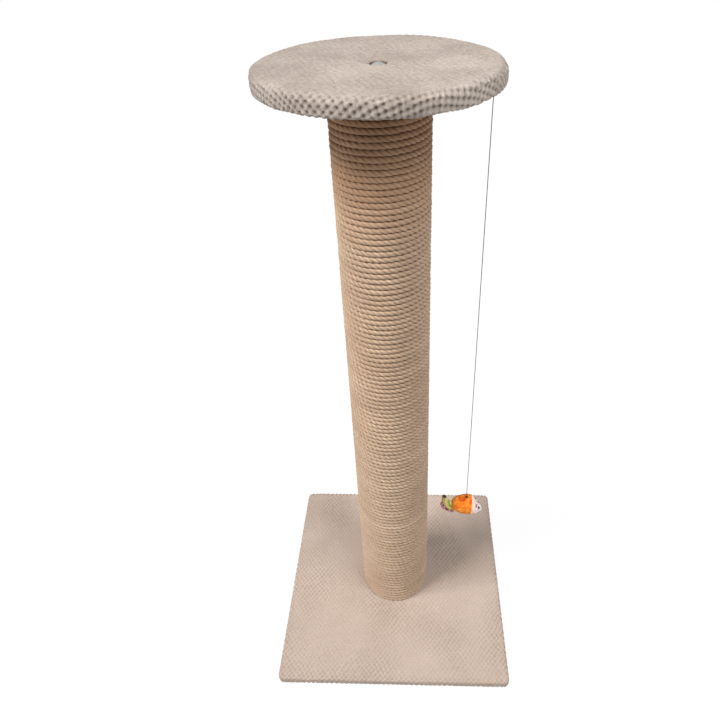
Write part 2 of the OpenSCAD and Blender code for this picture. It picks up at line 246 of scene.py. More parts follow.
def wander(points, size, seed, waves=9):
    """A smooth random number for each point, mostly from -1 to 1, with hills about size apart."""
    rng = np.random.default_rng(seed)
    total = np.zeros(len(points))
    for _ in range(waves):
        way = rng.normal(size=points.shape[1])
        way *= rng.uniform(0.7, 1.4) * 2 * np.pi / size / np.linalg.norm(way)
        total += np.sin(points @ way + rng.uniform(0, 2 * np.pi))
    return total / np.sqrt(waves) * 1.2


def between(value, start, end):
    """0 at start, 1 at end and straight in between. Start may be the higher one."""
    return np.clip((value - start) / (end - start), 0, 1)


def smooth(bm):
    for face in bm.faces:
        face.smooth = True


def face_outwards(bm):
    bmesh.ops.recalc_face_normals(bm, faces=bm.faces)
    smooth(bm)


print("helpers for points and random bends")

# %% [markdown]
# Every soft piece ends alike: as a mesh with one material, which rides on a
# body of the CAD model and takes the place of the solids that it covers.

# %% From a bmesh to a piece
def finish_piece(name, bm, finish, body, slot, stands_for=()):
    """Turns a bmesh in metres into a piece of the object."""
    mesh = bpy.data.meshes.new(name)
    bm.to_mesh(mesh)
    bm.free()
    mesh.materials.append(finish.material)
    made = linked(name, mesh)
    if body:
        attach(made, body)
    if stands_for:
        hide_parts(*stands_for)
    print(f"{name}: {len(mesh.polygons)} faces")
    return made


print("pieces:", finish_piece.__name__)

# %% [markdown]
# The toy's string is a thin round elastic, 724 mm long between its knots. It
# hangs plumb, because nothing but the toy's weight pulls on it. A circle
# pulled down in short steps makes the tube, which is simpler than a curve with
# a bevel, and the material draws its woven thread. It stretches with the toy,
# so it is blended between the body of its top and the body of its lower knot.

# %% The elastic string
elastic = Finish("elastic", {"Roughness": 0.7, "Sheen Weight": 0.1})
where = elastic.stretched(elastic.place(), (1500, 1500, 500))
thread = elastic.noise(where, 1.0, 2.0)
elastic.two_tone(thread, (44, 42, 40), (112, 112, 112))
elastic.bump(thread, 0.00015)
knotted = Finish("knotted_elastic", {"Roughness": 0.9, "Specular IOR Level": 0.1})
loops_of_thread = knotted.noise(knotted.place(), 900.0, 2.0)
knotted.two_tone(loops_of_thread, (40, 32, 26), (84, 74, 64))

STRING_TOP = Vector((0.133, 0.007, 0.9767))
STRING_LENGTH = 0.724
STRING_RADIUS = 0.5 * MM
STRING_STEPS = 24
step = Vector((0, 0, -STRING_LENGTH / STRING_STEPS))
route = [STRING_TOP + i * step for i in range(STRING_STEPS + 1)]

bm = bmesh.new()
top = Matrix.Translation(STRING_TOP)
bmesh.ops.create_circle(bm, cap_ends=True, segments=8, radius=STRING_RADIUS, matrix=top)
end = bm.faces[:]
for _ in range(STRING_STEPS):
    pulled = bmesh.ops.extrude_face_region(bm, geom=end, use_keep_orig=len(bm.faces) == 1)["geom"]
    end = [g for g in pulled if isinstance(g, bmesh.types.BMFace)]
    bmesh.ops.translate(bm, verts=[g for g in pulled if isinstance(g, bmesh.types.BMVert)], vec=step)
face_outwards(bm)
string = finish_piece("string", bm, elastic, None, "elastic", ["elastic_string"])
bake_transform(string, "string", "string_end", start=STRING_TOP, end=route[-1])
print("string", round((route[0] - route[-1]).length, 4), "m")

# %% [markdown]
# Each end of the string is tied in an overhand knot. A curve could follow the
# real loops, but a knot this small reads as a lumpy ball. So an icosphere is
# pinched along slanting grooves and gets a short tail of cut elastic.

# %% The two knots
def knot(name, centre, tail, body, stands_for):
    """A knot of 2 mm radius, centre in metres, with a cut end that points along tail."""
    bm = bmesh.new()
    bmesh.ops.create_icosphere(bm, subdivisions=4, radius=2.0)
    p = points_of(bm)
    way = p / np.linalg.norm(p, axis=1)[:, None]
    turn = np.arctan2(way[:, 1], way[:, 0])
    groove = np.abs(np.sin(1.5 * turn + 2.2 * way[:, 2]))
    move_points(bm, way * (1.45 + 0.55 * groove ** 0.6)[:, None])
    tail = Vector(tail)
    pointed = Matrix.Translation(tail * 0.9) @ tail.to_track_quat("Z", "Y").to_matrix().to_4x4()
    bmesh.ops.create_cone(
        bm, cap_ends=True, segments=8, radius1=0.5, radius2=0.45, depth=5, matrix=pointed,
    )
    bmesh.ops.scale(bm, verts=bm.verts, vec=(MM, MM, MM))
    bmesh.ops.translate(bm, verts=bm.verts, vec=centre)
    smooth(bm)
    return finish_piece(name, bm, knotted, body, "elastic", stands_for)


knot("top_knot", (0.133, 0.007, 0.979), (-1.2, 2.2, -1.6), "string_knot", ["string_top_knot"])
low_knot = knot("low_knot", (0.133, 0.007, 0.2504), (1.8, -1.4, 1.6), "string_end", ["string_bottom_knot"])

# %% [markdown]
# Sisal rope of 8 mm, laid from three strands, is wound tightly round a
# cardboard tube: 27 turns of one rope up to the join low on the post, and 91
# of another above it. Its skin starts as one long grid, whose columns run
# along the strands. One formula rolls the grid into a three-lobed tube, a
# little squared where its neighbours press on it, twists it with a lay of
# 24 mm, and winds it up the post. A spin of a single section would be slower
# with each of the 28,000 rings, and a curve with a bevel can't twist in three
# strands. Wear, dust with painted shade between the turns, and the painted
# shade of the platform are stored for the material.

# %% Winding the rope
POST = np.array([0.0, 7.0])
RINGS_PER_TURN = 240
LOBES = np.tile([3.15, 3.7, 4.05, 4.05, 3.7], 3)
LAY = 24.0
PRESSED = 0.78
MEAN_RADIUS = 3.6
WINDING_R = 58.9
STAPLE_ANGLE = 82.0
JOIN_TOP_Z = 241.0
WORN_FULLY, WORN_UP_TO = 45.0, 495.0
PAINTED_WARMTH_FROM, PAINTED_WARMTH_FULLY = 790.0, 880.0
SHADE_FROM, SHADE_FULLY = 890.0, 970.0


def wound_rope(name, first, last, height, lift, seed, stands_for):
    """Rope from turn first to turn last, counted from the staples.

    height gives its middle's height in mm at a turn, and lift how much further out it lies.
    """
    rings = round((last - first) * RINGS_PER_TURN)
    columns = len(LOBES)
    bm = bmesh.new()
    bm.loops.layers.uv.new("rope")
    bmesh.ops.create_grid(bm, x_segments=columns, y_segments=rings, size=0.5, calc_uvs=True)
    flat = points_of(bm)
    flat = (flat - flat.min(0))[:, :2] / (np.ptp(flat, axis=0)[:2])
    column = np.rint(flat[:, 0] * columns).astype(int) % columns
    turn = first + flat[:, 1] * (last - first)
    run = 2 * np.pi * WINDING_R * turn
    loose = np.stack([run], axis=1)
    thick = 1 + 0.02 * wander(loose, 60, seed) + 0.025 * wander(loose, 9, seed + 1)
    twist = 2 * np.pi * (column / columns - run / LAY) + 0.35 * wander(loose, 160, seed + 2)
    radius = LOBES[column] * thick
    angle = np.radians(STAPLE_ANGLE) + 2 * np.pi * turn
    outward, upward = (
        radius * np.sign(share) * np.abs(share) ** PRESSED for share in (np.cos(twist), np.sin(twist))
    )
    out = WINDING_R + lift + 0.12 * wander(loose, 90, seed + 3) + outward
    middle = height(turn)
    up = middle + 0.12 * wander(loose, 120, seed + 4) + 0.1 * wander(loose, 28, seed + 5) + upward
    wound = np.stack([POST[0] + out * np.cos(angle), POST[1] + out * np.sin(angle), up], axis=1)
    move_points(bm, wound * MM)
    worn = between(middle, WORN_UP_TO, WORN_FULLY)
    store(bm, "crest", 1 - (1 - 0.35 * worn) * (LOBES.max() - LOBES[column]) / np.ptp(LOBES))
    store(bm, "pale", np.exp(-(((middle - JOIN_TOP_Z) / 5) ** 2)) + worn)
    # Dust and painted shade where each turn near the foot meets the turn above.
    store(bm, "dust", worn * between(np.sin(twist), 0.3, 0.7))
    # Painted shade under the platform: the rope turns warmer there.
    store(bm, "under", between(middle, PAINTED_WARMTH_FROM, PAINTED_WARMTH_FULLY))
    # Painted shade of the platform on the topmost turns, darkest at the front.
    at_front = np.clip(-np.sin(angle), 0, 1) ** 4
    store(bm, "sheltered", between(middle, SHADE_FROM, SHADE_FULLY) * at_front)
    uv = bm.loops.layers.uv["rope"]
    length, girth = np.ptp(run) * MM, 2 * np.pi * MEAN_RADIUS * MM
    for face in bm.faces:
        for loop in face.loops:
            loop[uv].uv = (loop[uv].uv.y * length, loop[uv].uv.x * girth)
    seam = [v for v, x in zip(bm.verts, flat[:, 0]) if x < 1e-4 or x > 1 - 1e-4]
    bmesh.ops.remove_doubles(bm, verts=seam, dist=0.00001)
    bmesh.ops.holes_fill(bm, edges=[e for e in bm.edges if e.is_boundary], sides=0)
    face_outwards(bm)
    return finish_piece(name, bm, sisal, "scratcher", "rope", stands_for)


print("a lay every", LAY, "mm, wound at", WINDING_R, "mm")

# %% [markdown]
# A winding climbs steadily. Only the lowest turns don't: the first one lies
# flat on the base and steps up at the back, and that step fades out over 20
# turns. A formula for each length keeps its ends at the CAD model's heights.

# %% How high each turn lies
LOW_TURNS, HIGH_TURNS, TOP_TURNS = 27, 67, 24
LOW_FIRST_Z, JOIN_Z, TOP_FIRST_Z = 20.1, 235.9, 782.67
LOW_PITCH = (JOIN_Z - LOW_FIRST_Z) / LOW_TURNS
HIGH_PITCH = (TOP_FIRST_Z - JOIN_Z) / HIGH_TURNS
TOP_PITCH = 8.2
STEP_FROM, STEP_FADES_BY = 0.8, 20


def low_height(turn):
    turn = np.maximum(turn, 0)
    share = turn % 1
    stepped = between(share, STEP_FROM, 1)
    fade = between(turn, STEP_FADES_BY, 0)
    return LOW_FIRST_Z + LOW_PITCH * (turn + fade * (stepped - share))


def high_height(turn):
    return JOIN_Z + HIGH_PITCH * turn


def top_height(turn):
    return TOP_FIRST_Z + TOP_PITCH * turn


print("turns", LOW_TURNS + HIGH_TURNS + TOP_TURNS)
print("pitches", round(LOW_PITCH, 3), round(HIGH_PITCH, 3), TOP_PITCH)

# %% [markdown]
# Sisal is a straw-coloured leaf fibre. Up close each strand is a bundle of
# coarse fibres that run along it, some pale and some brown, and the grooves
# between strands get a painted shade. The rope's own UV map gives the
# direction: a noise that is stretched along it draws the fibres, a slow one
# changes the colour from turn to turn, and the stored crest paints the shade
# into the grooves. Towards the foot the rope is paler, its strands show less,
# and the upper side of each turn is darker, with dust and painted shade where
# it meets the turn above. The fresh end at the join is pale too. Under the
# platform a painted shade makes the rope warmer, and darkest at the front.

# %% Sisal
sisal = Finish("sisal_rope", {"Roughness": 0.85, "Specular IOR Level": 0.3, "Sheen Weight": 0.08})
along = sisal.node("UVMap", {"uv_map": "rope"})
fibres = sisal.noise(sisal.stretched(along, (90, 2200, 1)), 1.0, 3.0, 0.6)
coarse = sisal.noise(sisal.stretched(along, (35, 500, 1)), 1.0, 2.0)
patches = sisal.noise(sisal.place(), 14.0, 3.0, 0.6)
bands = sisal.noise(sisal.stretched(sisal.place(), (4, 4, 130)), 1.0, 1.0)
crest = sisal.kept("crest")
straw = sisal.ramp(
    0.5 * fibres + 0.3 * coarse + 0.2 * patches,
    (0.3, colour(153, 122, 98)), (0.45, colour(192, 164, 138)),
    (0.57, colour(212, 186, 160)), (0.72, colour(232, 212, 188)),
)
# Painted shade in the grooves between strands.
shaded = sisal.mix(crest ** 0.6, colour(170, 139, 113), straw)
# Dust and painted shade on the upper side of each turn near the foot.
dusty_and_shaded = sisal.mix(0.46 * sisal.kept("dust"), shaded, colour(122, 92, 68))
banding = sisal.ramp(bands, (0.3, colour(196, 186, 180)), (0.7, (1, 1, 1, 1)))
tinted = sisal.mix(0.35, dusty_and_shaded, banding, "MULTIPLY")
# Painted shade: under the platform the rope is tinted warmer.
painted_warm_shade = sisal.mix(sisal.kept("under"), tinted, colour(254, 240, 228), "MULTIPLY")
# Painted shade of the platform, darkest at the front.
front_shaded = sisal.mix(sisal.kept("sheltered"), painted_warm_shade, colour(198, 188, 180), "MULTIPLY")
faded = 0.22 * patches * sisal.kept("pale")
sisal.feed("Base Color", sisal.mix(faded, front_shaded, colour(240, 220, 196)))
sisal.bump(fibres + 0.6 * coarse, 0.0005, 0.8)
print("made", sisal.material.name)

# %% [markdown]
# The real post has two ropes, held by staples at their ends. Wound in one go
# the upper one would be too heavy a mesh to edit, so it is wound in four
# lengths that meet at the back of the post. Each end reaches a little past its
# staple. The topmost length stands for the CAD model's own tube of rope, and
# lies 0.2 mm further out to cover it.

# %% The five lengths of rope
PAST = 8 / 360
wound_rope("lower_rope", -PAST, LOW_TURNS + PAST, low_height, 0.0, 11, ["rope_lower_wrap"])
for name, first, last in (
    ("upper_rope_1", PAST, 23), ("upper_rope_2", 23, 45), ("upper_rope_3", 45, HIGH_TURNS),
):
    wound_rope(name, first, last, high_height, 0.0, 21, ["rope_upper_wrap"])
wound_rope("top_rope", 0, TOP_TURNS + PAST + 0.02, top_height, 0.2, 31, ["rope_top_turns"])

# %% [markdown]
# The plush is knitted in a waffle: soft puffs in staggered rows, 8 to 10 mm
# apart along a row, with a small pit between each four. Two crossed waves give
# exactly that lattice. Raising the distance from the top to a power makes the
# puffs broad and the pits narrow. It is worked out on the flat cloth, so the
# puffs follow the cloth round every edge that it is folded over. A slow drift
# keeps the rows from being straight, as no stretched cloth's rows are, and
# some pits are shallower than others.

# %% The waffle of the plush
def waffle(flat, rows, width, narrow, seed):
    """From 0 in a pit to 1 on a puff, for places on the flat cloth in mm.

    rows and width are waves in a mm, and narrow is how small the pits are.
    """
    u = flat[:, 0] + 1.1 * wander(flat, 70, seed)
    v = flat[:, 1] + 1.1 * wander(flat, 60, seed + 1)
    wave = np.cos(2 * np.pi * width * u) * np.cos(2 * np.pi * rows * v)
    depth = np.clip(0.95 + 0.15 * wander(flat, 16, seed + 2), 0.6, 1)
    return 1 - depth * ((1 - wave) / 2) ** narrow


ROWS, BASE_WIDTH, RIM_WIDTH = 0.093, 0.120, 0.103
print("rows of puffs are", round(0.5 / ROWS, 2), "mm apart")

# %% [markdown]
# A cover is a flat cloth that is folded over a board. A cloth simulation could
# find the folds, but they change with its settings. Here the fold is drawn from
# the side, as a line of points. The distance along the line is the distance on
# the flat cloth, and the line also tells which way the cloth faces.

# %% Folding a flat cloth
class Fold:
    """A line that a flat cloth follows as it is folded, from points (outwards, height)."""

    def __init__(self, points):
        self.points = np.array(points, float)
        steps = np.linalg.norm(np.diff(self.points, axis=0), axis=1)
        self.run = np.concatenate([[0], np.cumsum(steps)])

    def at(self, s):
        """Outwards, height, and the unit normal's two shares, at run s."""
        o, z = (np.interp(s, self.run, self.points[:, k]) for k in (0, 1))
        before, after = (
            [np.interp(s + d, self.run, self.points[:, k]) for k in (0, 1)] for d in (-0.6, 0.6)
        )
        along_o, along_z = after[0] - before[0], after[1] - before[1]
        size = np.maximum(np.hypot(along_o, along_z), 1e-9)
        return o, z, -along_z / size, along_o / size


def corner(centre_o, centre_z, radius, start, end, count=12):
    """Points on an arc, angles in degrees from outwards towards up."""
    turns = np.radians(np.linspace(start, end, count))
    return [(centre_o + radius * np.cos(t), centre_z + radius * np.sin(t)) for t in turns]


print("folded cloths:", Fold.__name__)

# %% [markdown]
# Short plush has no shine of its own. The tips catch light, which sheen gives,
# and the pits get a painted shade, darker because less light gets in. A fine
# noise breaks the surface into tufts, in its colour and as a bump, and a slow
# one is where the pile leans another way. A stored painted side light makes one
# side of the cloth lighter than the other.

# %% Plush
def plush(name, pale, deep, pit, grain):
    made = Finish(name, {
        "Roughness": 0.95, "Specular IOR Level": 0.15, "Sheen Weight": 0.08, "Sheen Roughness": 0.6,
    })
    tufts = made.noise(made.place(), 1500.0, 3.0, 0.65)
    clumps = made.noise(made.place(), 300.0, 3.0, 0.6)
    leaning = made.noise(made.place(), 16.0, 2.0)
    puff = made.kept("puff")
    shade = 0.35 * tufts + 0.4 * clumps + 0.25 * leaning
    body = made.ramp(shade, (0.5 - grain, deep), (0.5 + grain, pale))
    # Painted side light: one side of the cloth lighter than the other.
    side_lit = made.mix(1.0, body, made.kept("nap"), "MULTIPLY")
    # Painted shade in the pits of the waffle.
    made.feed("Base Color", made.mix(puff ** 0.7, pit, side_lit))
    made.bump(tufts + 1.5 * clumps, 0.0009, 0.8)
    return made


base_finish = plush("base_plush", colour(205, 187, 174), colour(175, 157, 144), colour(148, 130, 116), 0.17)
# The rim's pits are far darker: painted shade in the clefts below its puffs.
rim_finish = plush("platform_plush", colour(200, 188, 178), colour(158, 146, 136), colour(84, 64, 50), 0.09)
print("made", base_finish.material.name, "and", rim_finish.material.name)

# %% [markdown]
# The base's cover is one square of plush, cut flat with rounded corners,
# folded over the board and stapled underneath. It is made the same way: a flat
# grid gets its corners rounded, then each point goes where the fold takes it,
# and the puffs stand out along the cloth's own normal. Bending the corners
# keeps the grid in one piece, which a bevelled box would not.

# %% Where a point of the base's cover lies
INNER = 194.0
base_fold = Fold(
    [(0, 16), (6, 16)] + corner(6, 12, 4, 90, 0) + corner(8, 3, 2, 0, -90) + [(0, 1)]
)
EDGE_RUN = base_fold.run[-2]


def rounded(p):
    """Bends the outer rings of a square grid round its corners.

    Gives the nearest point of the flat middle, the way out from there and the distance.
    """
    side = np.abs(p)
    past = np.maximum(side.max(axis=1) - INNER, 0)
    other = np.maximum(side.min(axis=1) - INNER, 0)
    angle = np.where(past > 1e-6, np.pi / 4 * other / np.maximum(past, 1e-6), 0)
    more, less = np.cos(angle), np.sin(angle)
    x_leads = (side[:, 0] >= side[:, 1])[:, None]
    way = np.where(x_leads, np.stack([more, less], 1), np.stack([less, more], 1))
    sign = np.where(p < 0, -1.0, 1.0)
    return np.minimum(side, INNER) * sign, np.where((past > 0)[:, None], way, 0) * sign, past


def base_point(p, relief):
    """Where a point of the flat cloth ends up over the board, and how high on a puff it is."""
    inner, way, s = rounded(p)
    o, z, n_out, n_up = base_fold.at(s)
    out = np.where(s > 0, o, 0)
    flat = inner + way * s[:, None]
    folded = between(s, 0, 6)
    upright = np.clip(0.6 + 0.3 * wander(flat, 150, 55) + 0.4 * folded, 0.3, 1)
    puff = 1 - upright * (1 - waffle(flat, ROWS, BASE_WIDTH, 1.5, 51))
    rise = relief * (1 + 0.6 * folded) * (puff - 0.8)
    n_out, n_up = np.where(s > 0, n_out, 0), np.where(s > 0, n_up, 1)
    slack = 0.35 * wander(flat, 140, 5) + 0.15 * wander(flat, 45, 6)
    place = inner + way * (out + n_out * rise)[:, None]
    height = z + n_up * rise + np.where(z > 14, slack, 0)
    return np.column_stack([place, height]), puff


print("the fold is", round(EDGE_RUN, 1), "mm long")

# %% [markdown]
# Underneath, the cloth ends in a hem. Its boundary is extruded inwards in eight
# rings, a little wavy as stapled cloth is, and then back as the inner face that
# lies on the board. That closes the cloth, so it has a real thickness.

# %% The base's cover
def ring_out(bm, edges, shape):
    """Extrudes a loop of edges and moves the new points with shape. Gives the new edges."""
    made = bmesh.ops.extrude_edge_only(bm, edges=edges)["geom"]
    verts = [g for g in made if isinstance(g, bmesh.types.BMVert)]
    for vert, point in zip(verts, shape(np.array([v.co[:] for v in verts]))):
        vert.co = point
    return [g for g in made if isinstance(g, bmesh.types.BMEdge)]


def squared(half, z):
    """Moves points in or out to a square ring of that half size, in mm, and to a height."""
    def shape(p):
        now = np.abs(p[:, :2]).max()
        return np.column_stack([p[:, :2] * (half * MM / now), np.full(len(p), z * MM)])
    return shape


CELLS, RELIEF = 274, 1.3
hem = [(202 - 4.2 * (i + 1), 1 + 0.12 * (i % 2)) for i in range(8)]
inner_face = [(168.2, 2.6), (200.3, 2.6), (200.3, 12.4), (190, 12.5)]
bm = bmesh.new()
half = INNER + EDGE_RUN
bmesh.ops.create_grid(bm, x_segments=CELLS, y_segments=CELLS, size=half)
flat = points_of(bm)[:, :2]
flat *= half / np.abs(flat).max()
shaped, puff = base_point(flat, RELIEF)
move_points(bm, shaped * MM)
store(bm, "puff", puff)
# Painted side light: the base's cover is lighter towards the back.
store(bm, "nap", 1.01 + 0.045 * flat[:, 1] / INNER)
edges = [e for e in bm.edges if e.is_boundary]
for half_now, z in hem + inner_face:
    edges = ring_out(bm, edges, squared(half_now, z))
bmesh.ops.holes_fill(bm, edges=edges, sides=0)
face_outwards(bm)
base_cover = finish_piece("base_plush", bm, base_finish, "scratcher", "plush", ["base_cover"])

# %% [markdown]
# The platform's cover is a disc of the same plush. It is pulled down at the
# middle by the bolt, lies over thin wadding, goes round the soft rim and is
# gathered underneath. A line from the bolt hole to the hem, spun right round,
# makes it. A square grid would leave a ragged edge on a disc. The run along
# that line is kept, because it is the distance on the flat cloth.

# %% The platform's cover, spun
RIM_FOOT, RIM_FOOT_Z = 142.5, 990
SPOKES, RING_STEP = 640, 1.4
dimple = [(10.8 + 16 * t, 1001.2 + 3.8 * t * (2 - t)) for t in np.linspace(0, 1, 12)]
rim_fold = Fold(
    [(6.4, 998.4), (10.2, 998.4)] + dimple + corner(137.5, 996, 9, 90, 0, 16)
    + corner(RIM_FOOT, 986, 4, 0, -90) + [(108.3, 982)]
)


def spin_round(bm, line, steps):
    bmesh.ops.spin(
        bm, geom=line, cent=(0, 0, 0), axis=(0, 0, 1), angle=2 * math.pi, steps=steps,
        use_merge=True, use_normal_flip=False, use_duplicate=False,
    )


bm = bmesh.new()
run = bm.verts.layers.float.new("run")
line, last = [], None
for s in np.arange(0, rim_fold.run[-1] + RING_STEP / 2, RING_STEP):
    s = min(s, rim_fold.run[-1])
    o, z, _, _ = rim_fold.at(np.array([s]))
    vert = bm.verts.new((o[0], 0, z[0]))
    vert[run] = s
    if last:
        line.append(bm.edges.new((last, vert)))
    last = vert
spin_round(bm, line, SPOKES)
print("spun", len(bm.verts), "points", len(bm.faces), "faces")

# %% [markdown]
# The puffs stand out from the rim and are brushed flat on the top. The cloth's
# rows run at an angle to the base's. The first row lies at the front edge of
# the top, and lower at the sides and the back. The puffs sag a little down the
# side, which deepens the clefts below them. Under the rim the cloth has to
# shorten, and it does so in gathers.

# %% Puffs, slack and gathers
SAG = 1.8
FIRST_ROW, ROW_DROP, PUFF_GROWS = 134, 7, 9
TURN = math.radians(19)
TURNED = np.array([[math.cos(TURN), math.sin(TURN)], [-math.sin(TURN), math.cos(TURN)]])
p = points_of(bm)
s = stored(bm, "run")
angle = np.arctan2(p[:, 1], p[:, 0])
way = np.stack([np.cos(angle), np.sin(angle)], 1)
flat = way * s[:, None]
puff = waffle(flat @ TURNED, ROWS, RIM_WIDTH, 2.0, 53)
first_row = FIRST_ROW + ROW_DROP * np.clip(1 + way[:, 1], 0, 1)
to_rim = between(s, first_row, first_row + PUFF_GROWS)
o, z, n_out, n_up = rim_fold.at(s + SAG * (puff - 0.5) * to_rim)
under = (z < RIM_FOOT_Z) * between(o, RIM_FOOT, RIM_FOOT - 20)
relief = 0.6 + 2.4 * to_rim * (1 - under)
rise = relief * (puff - 0.85) * between(s, 16, 26)
gathers = np.abs(np.sin(21 * angle + 1.3 * np.sin(5 * angle) + 0.8 * np.sin(11 * angle + 1))) ** 0.7
rise += under * (1.6 * gathers - 0.6)
slack = np.where(z > 1000, 0.5 * wander(flat, 120, 7) + 0.2 * wander(flat, 40, 8), 0.25 * wander(flat, 60, 9))
rise += slack * between(s, 0, 40)
out = o + n_out * rise
height = z + n_up * rise
move_points(bm, np.column_stack([way * out[:, None] + POST, height]) * MM)
print("gathers and puffs reach", round(out.max(), 1), "mm out")

# %% [markdown]
# What the material needs to know is stored now: how high a point is on a puff,
# with the painted shade of the pits darker to the right and over the whole top,
# and a painted side light. The side light paints the top darker towards the back
# and the rim lighter to the right. Between the gathers under the rim and behind
# the bolt's head the cloth gets a painted shadow. The inner face then closes the
# cloth, as at the base.

# %% The platform's cover
FLAT_R = 146
across, back = flat[:, 0] / FLAT_R, flat[:, 1] / FLAT_R
# Painted shade in the pits, darker to the right, and over the whole top.
shown = 1 - (1 - puff) * (0.12 + (0.78 + 0.2 * across) * to_rim) - 0.26 * (1 - to_rim)
# Painted shadow behind the bolt's head.
painted_shadow_behind_head = between(s, 9, 6) * np.clip(2 * way[:, 1], 0, 1)
# Painted shadow in the folds between the gathers under the rim.
store(bm, "puff", np.clip(shown, 0, 1) * (1 - 0.6 * under * (1 - gathers)) * (1 - painted_shadow_behind_head))
# Painted side light: the top darker towards the back, the rim lighter to the right.
side_light_on_top = 0.99 + 0.08 * across - 0.12 * np.maximum(back, 0)
side_light_on_rim = 0.965 + 0.4 * np.clip(across, 0, 1)
store(bm, "nap", side_light_on_top + (side_light_on_rim - side_light_on_top) * to_rim)


def ringed(radius, z):
    """Moves points in or out to a circle round the post, in mm, and to a height."""
    def shape(p):
        centred = p[:, :2] - POST * MM
        centred *= radius * MM / np.linalg.norm(centred, axis=1)[:, None]
        return np.column_stack([centred + POST * MM, np.full(len(p), z * MM)])
    return shape


inner_face = [
    (108.4, 983.6), (142.9, 983.7), (142.9, 996.6), (138, 1000.6), (32, 1000.8), (12, 997.2), (6.4, 997.2),
]
edges = [e for e in bm.edges if e.is_boundary and max(v[run] for v in e.verts) > 100]
for radius, z in inner_face:
    edges = ring_out(bm, edges, ringed(radius, z))
bmesh.ops.bridge_loops(bm, edges=[e for e in bm.edges if e.is_boundary])
face_outwards(bm)
platform_cover = finish_piece("platform_plush", bm, rim_finish, "scratcher", "plush", ["platform_cover"])

# %% [markdown]
# Between the board and the platform's cover lies a thin disc of polyester
# wadding. Nobody sees it, but it is what the bolt squeezes and what makes the
# rim soft, so it is there: a low ring with a lumpy top.

# %% The wadding
wadding = Finish("wadding", {"Roughness": 1.0, "Specular IOR Level": 0.1})
wool = wadding.noise(wadding.place(), 500.0, 4.0, 0.7)
wadding.two_tone(wool, (214, 214, 210), (240, 240, 236))
wadding.bump(wool, 0.001)
bm = bmesh.new()
outline = [(14, 996.1), (22, 998.2), (34, 1000.2), (132, 1000.2), (138, 999.0), (141.5, 996.1)]
verts = [bm.verts.new((o, 0, z)) for o, z in outline]
line = [bm.edges.new(pair) for pair in zip(verts, verts[1:] + verts[:1])]
spin_round(bm, line, 96)
p = points_of(bm)
lump = np.where(p[:, 2] > 1000, 0.3 * wander(p, 30, 12), 0)
move_points(bm, (p + np.column_stack([np.tile(POST, (len(p), 1)), lump])) * MM)
face_outwards(bm)
wad = finish_piece("wadding_disc", bm, wadding, "scratcher", "wadding", ["platform_wadding"])

# %% [markdown]
# The base stands on a square of dark felt, which hides the hem. Needle felt
# is a mat of short fibres with soft, slightly uneven edges. A grid with a
# wandering outline gets its millimetre of thickness from an extrusion.

# %% The felt lining
felt = Finish("felt", {"Roughness": 0.95, "Specular IOR Level": 0.1, "Sheen Weight": 0.2})
hair = felt.noise(felt.stretched(felt.place(), (700, 260, 700)), 1.0, 4.0, 0.7)
cross = felt.noise(felt.stretched(felt.place(), (240, 760, 700)), 1.0, 4.0, 0.7)
felt.two_tone(0.5 * hair + 0.5 * cross, (52, 52, 54), (104, 103, 102))
felt.bump(hair + cross, 0.0004)
HALF_FELT = 186
bm = bmesh.new()
bmesh.ops.create_grid(bm, x_segments=124, y_segments=124, size=HALF_FELT)
p = points_of(bm)
p[:, :2] *= HALF_FELT / np.abs(p[:, :2]).max()
rim = between(np.abs(p[:, :2]).max(axis=1), HALF_FELT - 6, HALF_FELT)
p[:, :2] *= (1 - 0.003 * rim * (1 + wander(p[:, :2], 40, 14)))[:, None]
p[:, 2] = 0.94 + 0.05 * wander(p[:, :2], 12, 15)
move_points(bm, p * MM)
made = bmesh.ops.extrude_face_region(bm, geom=bm.faces[:], use_keep_orig=True)["geom"]
for g in made:
    if isinstance(g, bmesh.types.BMVert):
        g.co.z = 0.00002
face_outwards(bm)
lining = finish_piece("felt_lining", bm, felt, "scratcher", "felt", ["base_lining"])

# %% [markdown]
# The toy is a palm-sized stuffed fish-mouse: an orange plush body, a pale
# tapered head with a low nose, bead eyes, felt ears and a curled tail. Its
# pieces are lofts: circles set along the piece and bridged. A sculpted ball
# would be as good, but a list of circles is easier to change.

# %% Lofts for the toy
TOY = np.array([108.7, 7.0, 231.1])
TOY_R = 17.0
NOSE_DROP = 12.0
BODY_LENGTH, HEAD_LENGTH = 36, 17


def bridged(bm, loops):
    """Joins neighbouring loops of edges with faces and closes both ends."""
    for one, next_one in zip(loops, loops[1:]):
        bmesh.ops.bridge_loops(bm, edges=one + next_one)
    bmesh.ops.holes_fill(bm, edges=[e for e in bm.edges if e.is_boundary], sides=0)
    bmesh.ops.recalc_face_normals(bm, faces=bm.faces)


def circle(bm, sides, radius, placed):
    ring = set(bmesh.ops.create_circle(bm, segments=sides, radius=radius, matrix=placed)["verts"])
    return ring, [e for e in bm.edges if e.verts[0] in ring and e.verts[1] in ring]


def loft(rings, start, length, sides=40):
    """Circles that stand across the toy, each at a share of its length, radius and drop, made one skin."""
    bm = bmesh.new()
    upright = Matrix.Rotation(math.pi / 2, 4, "Y")
    loops = []
    for share, radius, drop in rings:
        centre = Matrix.Translation((start + length * share, 0, -NOSE_DROP * drop))
        loops.append(circle(bm, sides, TOY_R * radius, centre @ upright)[1])
    bridged(bm, loops)
    bmesh.ops.subdivide_edges(bm, edges=bm.edges[:], cuts=2, use_grid_fill=True, smooth=0.6)
    return bm


print("the toy is", BODY_LENGTH + HEAD_LENGTH, "mm long without its tail")

# %% [markdown]
# Stuffing swells a skin a little unevenly. The long pile is drawn from the skin
# itself: some of its small faces are pulled out one by one and pinched into
# tufts. Hair particles would be finer, but wouldn't be left in the mesh.

